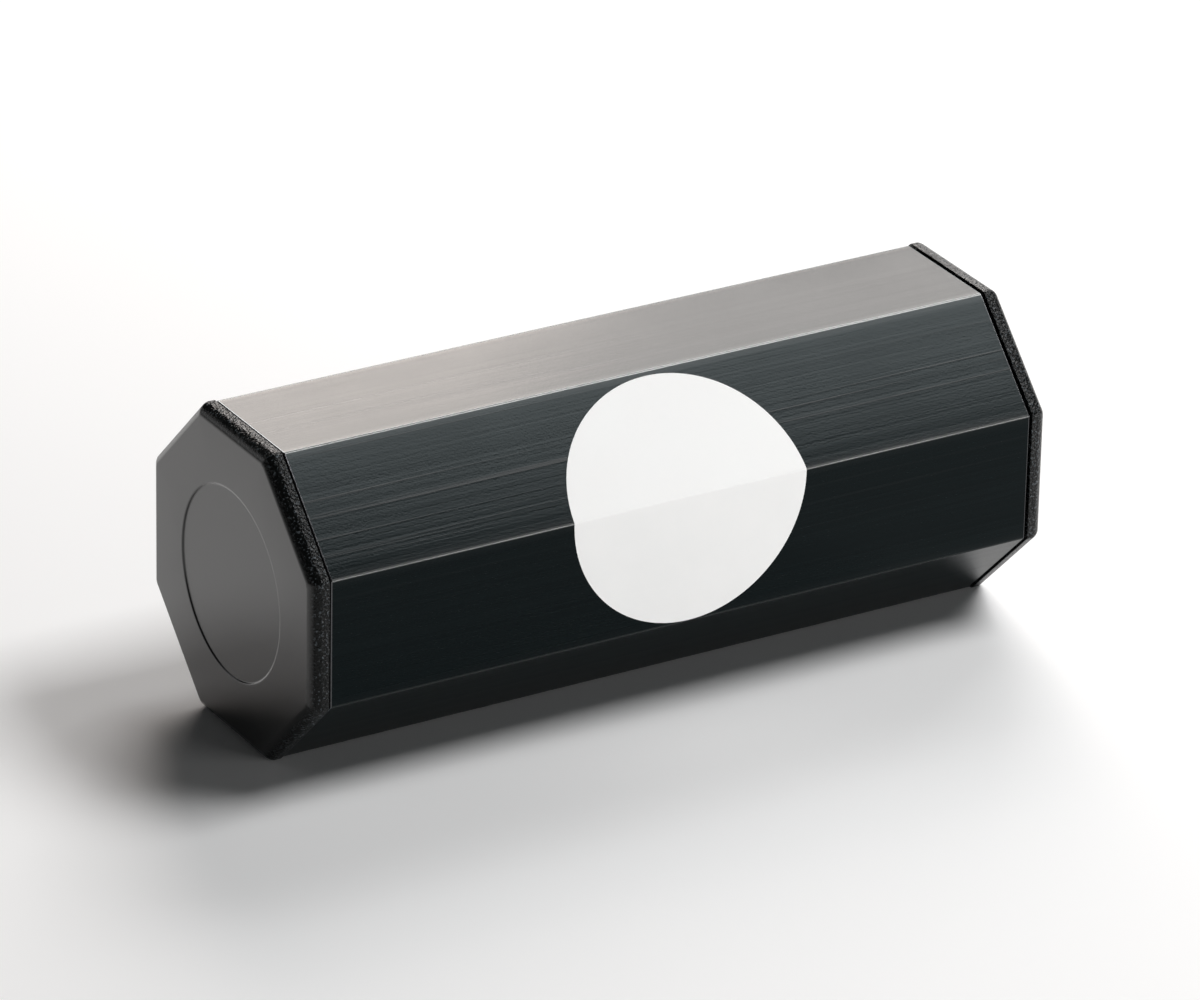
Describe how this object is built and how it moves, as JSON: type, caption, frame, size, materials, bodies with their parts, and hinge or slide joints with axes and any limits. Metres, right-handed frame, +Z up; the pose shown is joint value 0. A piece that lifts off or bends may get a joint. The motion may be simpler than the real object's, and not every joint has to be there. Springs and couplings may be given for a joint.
{
  "type": "metal shaker",
  "caption": "Octagonal metal shaker: a black anodised aluminium tube closed by two moulded end caps, with loose steel shot that runs inside when it is shaken by hand.",
  "frame": {"origin": "centre of the shaker's footprint, on the surface that it lies on", "axes": "+X along the tube, towards the right end cap; -Y the side that carries the printed mark; +Z up"},
  "size_m": [0.1306, 0.0516, 0.0515],
  "materials": {
    "black_anodised": "black anodised, with fine lines along the length",
    "cap_plastic": "black, smooth face and fine grain on the rim",
    "steel_shot": "plain steel balls"
  },
  "bodies": {
    "shell": {"tube": "black_anodised", "left_end_cap": "cap_plastic", "right_end_cap": "cap_plastic"},
    "shot_row_a": {"shot_a_1": "steel_shot", "shot_a_2": "steel_shot", "shot_a_3": "steel_shot", "shot_a_4": "steel_shot", "shot_a_5": "steel_shot", "shot_a_6": "steel_shot", "shot_a_7": "steel_shot"},
    "shot_row_b": {"shot_b_1": "steel_shot", "shot_b_2": "steel_shot", "shot_b_3": "steel_shot", "shot_b_4": "steel_shot", "shot_b_5": "steel_shot", "shot_b_6": "steel_shot", "shot_b_7": "steel_shot"},
    "shot_row_c": {"shot_c_1": "steel_shot", "shot_c_2": "steel_shot", "shot_c_3": "steel_shot", "shot_c_4": "steel_shot", "shot_c_5": "steel_shot", "shot_c_6": "steel_shot", "shot_c_7": "steel_shot"},
    "shot_row_d": {"shot_d_1": "steel_shot", "shot_d_2": "steel_shot", "shot_d_3": "steel_shot", "shot_d_4": "steel_shot", "shot_d_5": "steel_shot", "shot_d_6": "steel_shot", "shot_d_7": "steel_shot"},
    "shot_row_e": {"shot_e_1": "steel_shot", "shot_e_2": "steel_shot", "shot_e_3": "steel_shot", "shot_e_4": "steel_shot", "shot_e_5": "steel_shot", "shot_e_6": "steel_shot", "shot_e_7": "steel_shot"}
  },
  "joints": [
    {"name": "shot_row_a_run", "type": "slide", "parent": "shell", "child": "shot_row_a", "axis": [1, 0, 0], "range_m": [-0.03761, 0.02758]},
    {"name": "shot_row_b_run", "type": "slide", "parent": "shell", "child": "shot_row_b", "axis": [1, 0, 0], "range_m": [-0.03688, 0.02831]},
    {"name": "shot_row_c_run", "type": "slide", "parent": "shell", "child": "shot_row_c", "axis": [1, 0, 0], "range_m": [-0.02073, 0.04446]},
    {"name": "shot_row_d_run", "type": "slide", "parent": "shell", "child": "shot_row_d", "axis": [1, 0, 0], "range_m": [-0.04726, 0.01793]},
    {"name": "shot_row_e_run", "type": "slide", "parent": "shell", "child": "shot_row_e", "axis": [1, 0, 0], "range_m": [-0.02103, 0.04416]}
  ]
}
